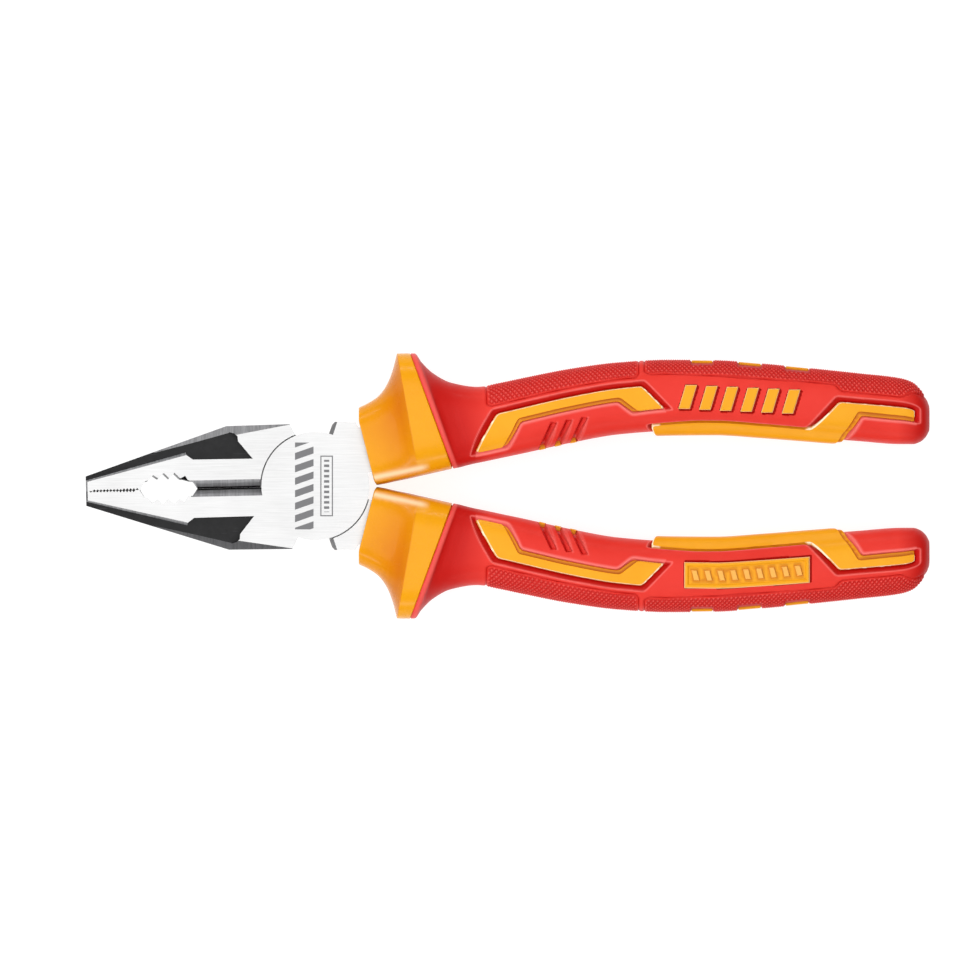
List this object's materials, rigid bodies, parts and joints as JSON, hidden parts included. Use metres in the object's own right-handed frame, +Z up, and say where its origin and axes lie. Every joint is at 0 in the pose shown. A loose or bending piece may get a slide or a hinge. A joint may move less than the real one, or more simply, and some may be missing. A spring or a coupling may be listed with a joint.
{
  "type": "insulated combination pliers",
  "caption": "Insulated lineman's combination pliers with toothed flat nose, pipe grip, side cutter, finger guards and soft contoured handles.",
  "frame": {"origin": "on the pivot axis, in the ground underside face of the head", "axes": "+X from the pivot to the handle ends along the mid line of the closed pliers, +Y across the handles, +Z up out of the head's front face, parallel to the pivot axis"},
  "size_m": [0.2, 0.0628, 0.0212],
  "materials": {
    "ground_steel": "ground faces, black oxide flanks",
    "rivet_steel": "ground flush with the head",
    "orange_insulation": "satin",
    "red_grip": "satin, knurled pads",
    "orange_inlay": "satin"
  },
  "bodies": {
    "front_half": {"front_half_forging": "ground_steel", "pivot_rivet": "rivet_steel", "upper_insulating_sleeve": "orange_insulation", "upper_outer_grip": "red_grip", "upper_chevron_inlay_front": "orange_inlay", "upper_chevron_inlay_back": "orange_inlay", "upper_rear_stripe_inlay": "orange_inlay", "upper_spine_inlays": "orange_inlay", "upper_belly_inlays": "orange_inlay", "upper_badge_front": "orange_inlay", "upper_badge_back": "orange_inlay"},
    "rear_half": {"rear_half_forging": "ground_steel", "lower_insulating_sleeve": "orange_insulation", "lower_outer_grip": "red_grip", "lower_chevron_inlay_front": "orange_inlay", "lower_chevron_inlay_back": "orange_inlay", "lower_rear_stripe_inlay": "orange_inlay", "lower_spine_inlays": "orange_inlay", "lower_belly_inlays": "orange_inlay", "lower_badge_front": "orange_inlay", "lower_badge_back": "orange_inlay"}
  },
  "joints": [
    {"name": "pivot", "type": "hinge", "parent": "front_half", "child": "rear_half", "pos_m": [0, 0, 0], "axis": [0, 0, -1], "range_deg": [0, 32]}
  ]
}
